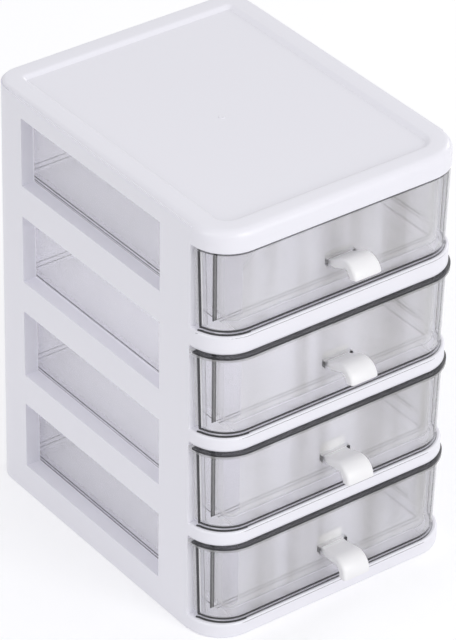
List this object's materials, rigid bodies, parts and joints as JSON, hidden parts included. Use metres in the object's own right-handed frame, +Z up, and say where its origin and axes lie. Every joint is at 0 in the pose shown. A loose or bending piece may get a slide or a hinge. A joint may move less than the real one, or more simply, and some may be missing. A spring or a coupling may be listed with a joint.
{
  "type": "drawer organizer",
  "caption": "Compact white desk-top chest of clear pull-out drawers with clip-on grips, rounded front corners, side windows and a recessed lid.",
  "frame": {"origin": "centre of the case's underside", "axes": "+X to the right seen from the front, -Y out of the drawer fronts, +Z up"},
  "size_m": [0.1314, 0.1806, 0.2024],
  "materials": {
    "white_case": "smooth white moulded plastic",
    "clear_drawer": "clear moulded plastic, slightly smoky",
    "white_handle": "smooth white moulded plastic"
  },
  "bodies": {
    "case": {"base": "white_case", "left_side_panel": "white_case", "right_side_panel": "white_case", "back_panel": "white_case", "shelf_1": "white_case", "shelf_2": "white_case", "shelf_3": "white_case", "lid": "white_case"},
    "drawer_1": {"drawer_1": "clear_drawer", "handle_1": "white_handle"},
    "drawer_2": {"drawer_2": "clear_drawer", "handle_2": "white_handle"},
    "drawer_3": {"drawer_3": "clear_drawer", "handle_3": "white_handle"},
    "drawer_4": {"drawer_4": "clear_drawer", "handle_4": "white_handle"}
  },
  "joints": [
    {"name": "drawer_1_slide", "type": "slide", "parent": "case", "child": "drawer_1", "axis": [0, -1, 0], "range_m": [0, 0.12]},
    {"name": "drawer_2_slide", "type": "slide", "parent": "case", "child": "drawer_2", "axis": [0, -1, 0], "range_m": [0, 0.12]},
    {"name": "drawer_3_slide", "type": "slide", "parent": "case", "child": "drawer_3", "axis": [0, -1, 0], "range_m": [0, 0.12]},
    {"name": "drawer_4_slide", "type": "slide", "parent": "case", "child": "drawer_4", "axis": [0, -1, 0], "range_m": [0, 0.12]}
  ]
}
